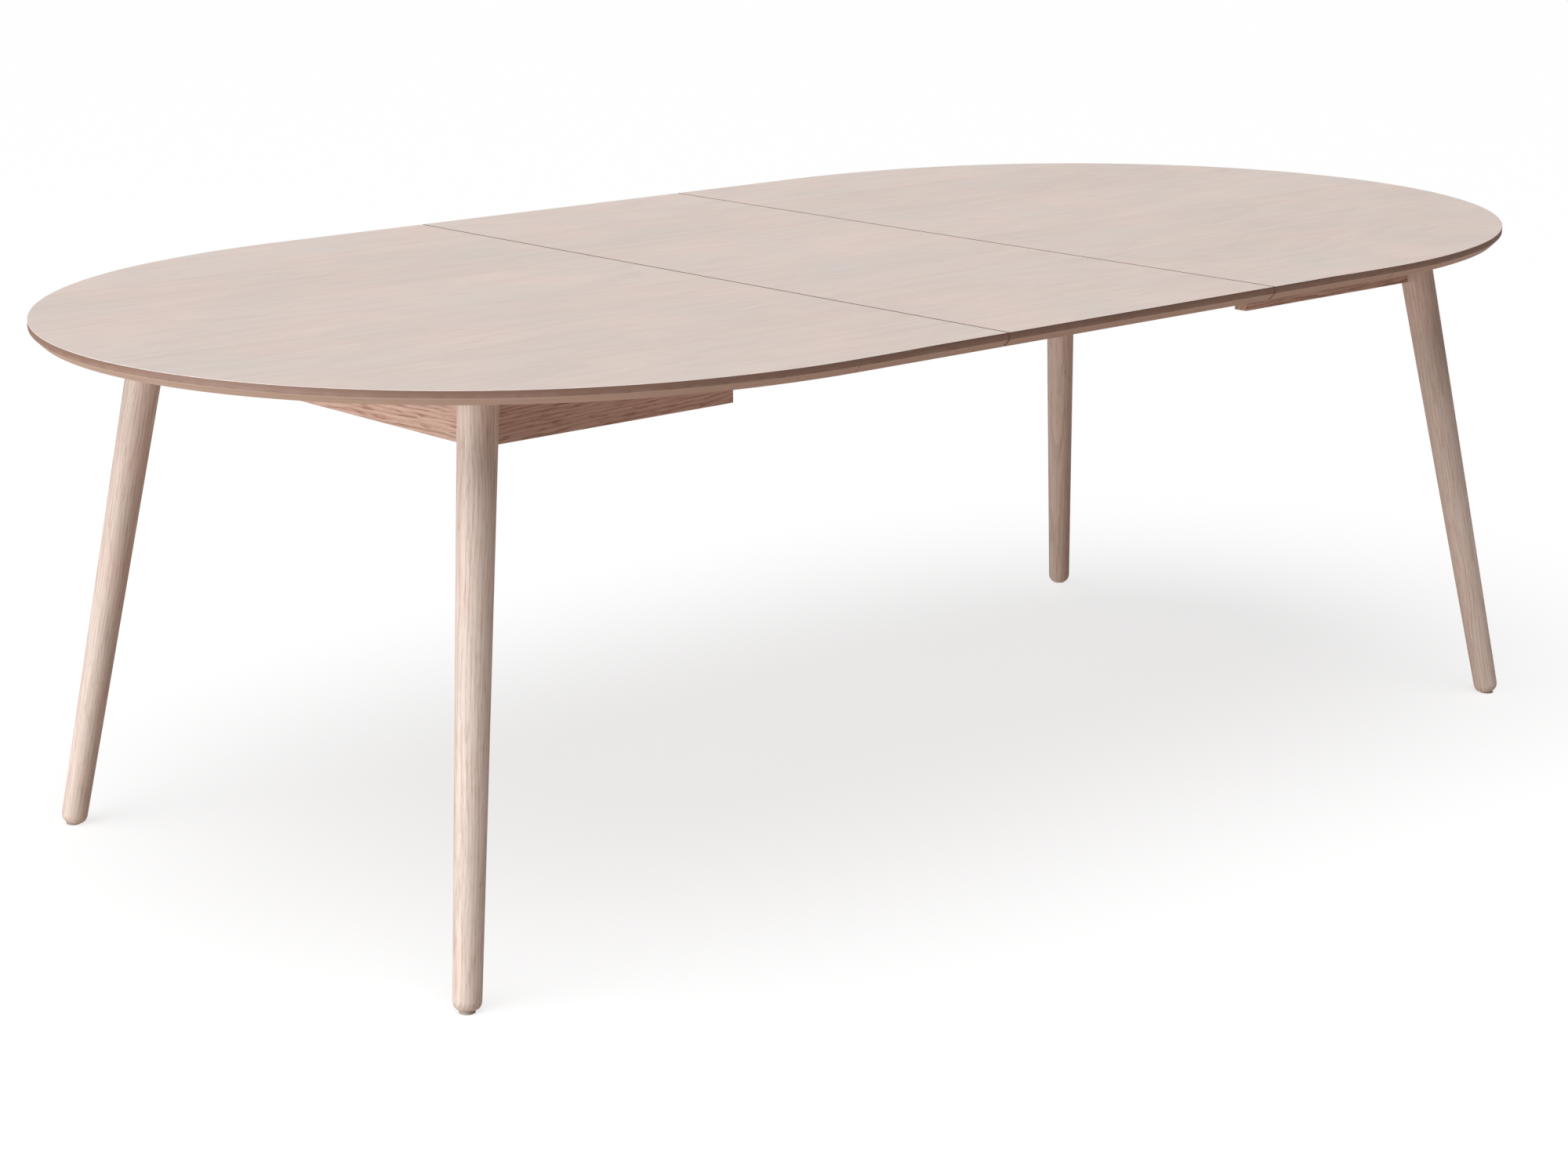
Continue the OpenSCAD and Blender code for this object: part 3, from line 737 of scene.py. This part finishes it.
def build_leg(side, sx, face, sy):
    glide_low, glide_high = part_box(f"{side}_{face}_glide")
    centre = (glide_low + glide_high) / 2
    foot = Vector((centre.x, centre.y, GLIDE_T))
    top = Vector((sx * LEG_TOP_X, sy * LEG_TOP_Y, UNDER_Z))
    axis = (top - foot).normalized()
    across = axis.cross(Vector((0, 0, 1))).normalized()
    turn = Matrix((across, axis.cross(across), axis)).transposed().to_4x4()
    matrix = Matrix.Translation(foot) @ turn
    name = f"{side}_{face}_turned_leg"
    bm = leg_mesh(foot, top, matrix)
    leg = new_object(name, bm, side + "_half", "oak_legs", f"{side}_{face}_leg")
    grain_axes = ((0, 0, 1), (1, 0, 0), (0, 1, 0))
    set_grain(leg, grain_axes, (sx * 1.7 + sy * 0.6, 0.02 * sx, 0.01 * sy))
    set_wear_and_painted_light(leg, lambda p: p.z < FOOT_WEAR)
    leg.data.transform(matrix)


def build_legs():
    for side, sx in SIDES.items():
        for face, sy in FACES.items():
            build_leg(side, sx, face, sy)


# ---- Aprons ----

BOARD_EASE = 0.0012       # easing of the boards' edges
INTO_LEG = 0.012          # an end apron's ends run this far into the legs
GRAIN_DROP = -0.56        # puts the heart of the log well below an apron, for close, even lines


def eased_board(low, high):
    bm = bmesh.new()
    bmesh.ops.create_cube(bm, size=1.0)
    matrix = Matrix.Translation((low + high) / 2) @ Matrix.Diagonal((*(high - low), 1.0))
    bmesh.ops.transform(bm, matrix=matrix, verts=bm.verts)
    bmesh.ops.bevel(bm, geom=bm.edges[:], offset=BOARD_EASE, segments=3, profile=0.5, affect="EDGES")
    return bm


def build_apron(name, low, high, side, cad_node, axes, offset):
    """A board with its edges eased and rubbed."""
    def is_edge(p):
        near = [min(abs(v - a), abs(v - b)) < BOARD_EASE * 0.9 for v, a, b in zip(p, low, high)]
        return sum(near) >= 2

    apron = new_object(name, eased_board(low, high), side + "_half", "oak_frame", cad_node)
    set_grain(apron, axes, offset)
    set_wear_and_painted_light(apron, is_edge)


def build_aprons():
    end_axes = ((0, 1, 0), (0, 0.03, 1), (1, 0, 0))
    side_axes = ((1, 0, 0), (-0.05, 0, 1), (0, 1, 0))
    for side, sx in SIDES.items():
        low, high = (corner.copy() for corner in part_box(side + "_end_apron"))
        low.y -= INTO_LEG
        high.y += INTO_LEG
        offset = (sx * 2.3, GRAIN_DROP, -low.x)
        build_apron(side + "_end_rail", low, high, side, side + "_end_apron", end_axes, offset)
        for face, sy in FACES.items():
            low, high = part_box(f"{side}_{face}_apron")
            offset = (sx * 3.1 + sy, GRAIN_DROP, -low.y)
            name = f"{side}_{face}_side_rail"
            build_apron(name, low, high, side, f"{side}_{face}_apron", side_axes, offset)


# ---- CAD nodes that keep their shape ----

RAIL_EASE = 0.0006
PLATE_EASE = 0.0004


def ease_edges(obj, width):
    """Rounds a machined part's edges a little, so that they catch the light."""
    bevel = obj.modifiers.new("eased_edges", "BEVEL")
    bevel.width = width
    bevel.segments = 2
    bevel.limit_method = "ANGLE"
    bevel.angle_limit = math.radians(35)
    bevel.use_clamp_overlap = True
    bevel.harden_normals = True


def dress_cad_nodes():
    slots = {s["node"]: s["material_slot"] for s in frame["record"]["subparts"]}
    for name, obj in NODES.items():
        slot = slots[name]
        obj.data.materials.clear()
        obj.data.materials.append(MATERIALS[slot])
        if slot == "block_wood":
            set_grain(obj, ((0, 1, 0), (1, 0, 0), (0, 0, 1)), (0.4, 0.2, -0.65))
        if name.endswith("_rail") or "packers" in name:
            ease_edges(obj, RAIL_EASE)
        elif slot == "zinc_steel" and "bolts" not in name:
            ease_edges(obj, PLATE_EASE)


# ---- Floor, light and camera ----

FLOOR_REACH = 45                             # half its width, so that no edge of it shows
FLOOR_PAINT = (0.23, 0.23, 0.23, 1.0)        # takes the light and the shadows
FLOOR_SEEN = (0.77, 0.77, 0.77, 1.0)         # the glow that the camera sees
FLOOR_BOUNCE = (0.302, 0.207, 0.162, 1.0)    # the glow that reaches the table
WORLD_GLOW = 0.03


def build_stage():
    bm = bmesh.new()
    bmesh.ops.create_grid(bm, x_segments=8, y_segments=8, size=FLOOR_REACH)
    mesh = bpy.data.meshes.new("floor")
    bm.to_mesh(mesh)
    bm.free()
    floor = add_to_scene("floor", mesh)
    n = Nodes("floor_white")
    seen = n.tree.nodes.new("ShaderNodeLightPath").outputs["Is Camera Ray"]
    glow = n.mix(seen, FLOOR_BOUNCE, FLOOR_SEEN)
    n.put(glow, n.shader.inputs["Emission Color"])
    n.shader.inputs["Emission Strength"].default_value = 1.0
    mesh.materials.append(n.finish(FLOOR_PAINT, 0.8, Specular_IOR_Level=0.1))


def sun(name, azimuth, elevation, strength, spread):
    """A soft far light. azimuth is where it comes from, counter-clockwise from +X, in degrees."""
    data = bpy.data.lights.new(name, "SUN")
    data.energy = strength
    data.angle = math.radians(spread)
    obj = add_to_scene(name, data)
    a, e = math.radians(azimuth), math.radians(elevation)
    way = Vector((math.cos(a) * math.cos(e), math.sin(a) * math.cos(e), math.sin(e)))
    obj.rotation_euler = way.to_track_quat("Z", "Y").to_euler()


def softbox(name, at, aim, width, height, power):
    """A large rectangular light that faces a point."""
    data = bpy.data.lights.new(name, "AREA")
    data.shape = "RECTANGLE"
    data.size = width
    data.size_y = height
    data.energy = power
    obj = add_to_scene(name, data)
    obj.location = at
    obj.rotation_euler = (Vector(at) - Vector(aim)).to_track_quat("Z", "Y").to_euler()


def build_lights():
    sun("top_light", azimuth=203, elevation=70, strength=3.2, spread=58)
    softbox("side_light", at=(-4.5, 0.35, 0.72), aim=(0.0, 0.0, 0.5), width=3.0, height=1.4,
            power=90)
    world = bpy.data.worlds.new("studio")
    bpy.context.scene.world = world
    world.use_nodes = True
    background = world.node_tree.nodes["Background"]
    background.inputs["Color"].default_value = (1.0, 1.0, 1.0, 1.0)
    background.inputs["Strength"].default_value = WORLD_GLOW


CAMERA_AT = Vector((-3.062, -3.407, 1.462))
CAMERA_YAW = 48.75        # degrees from +X towards +Y
CAMERA_DOWN = 14.78
CAMERA_ROLL = -0.31
CAMERA_LENS = 74.47       # mm, on a 36 mm wide sensor


def build_camera():
    yaw, down, roll = (math.radians(v) for v in (CAMERA_YAW, CAMERA_DOWN, CAMERA_ROLL))
    ahead = Vector((math.cos(down) * math.cos(yaw), math.cos(down) * math.sin(yaw), -math.sin(down)))
    right = Vector((math.sin(yaw), -math.cos(yaw), 0.0))
    up = right.cross(ahead)
    right_rolled = right * math.cos(roll) + up * math.sin(roll)
    up_rolled = up * math.cos(roll) - right * math.sin(roll)
    data = bpy.data.cameras.new("camera")
    data.lens = CAMERA_LENS
    data.sensor_width = 36.0
    data.clip_end = 200.0
    camera = add_to_scene("camera", data)
    turn = Matrix((right_rolled, up_rolled, -ahead)).transposed().to_4x4()
    camera.matrix_world = Matrix.Translation(CAMERA_AT) @ turn
    bpy.context.scene.camera = camera


def set_colour_management():
    view = bpy.context.scene.view_settings
    view.view_transform = "Standard"
    view.look = "None"
    view.exposure = 0.0
    view.gamma = 1.0


build_camera()
build_stage()
build_lights()
set_colour_management()
dress_cad_nodes()
build_tops()
build_legs()
build_aprons()
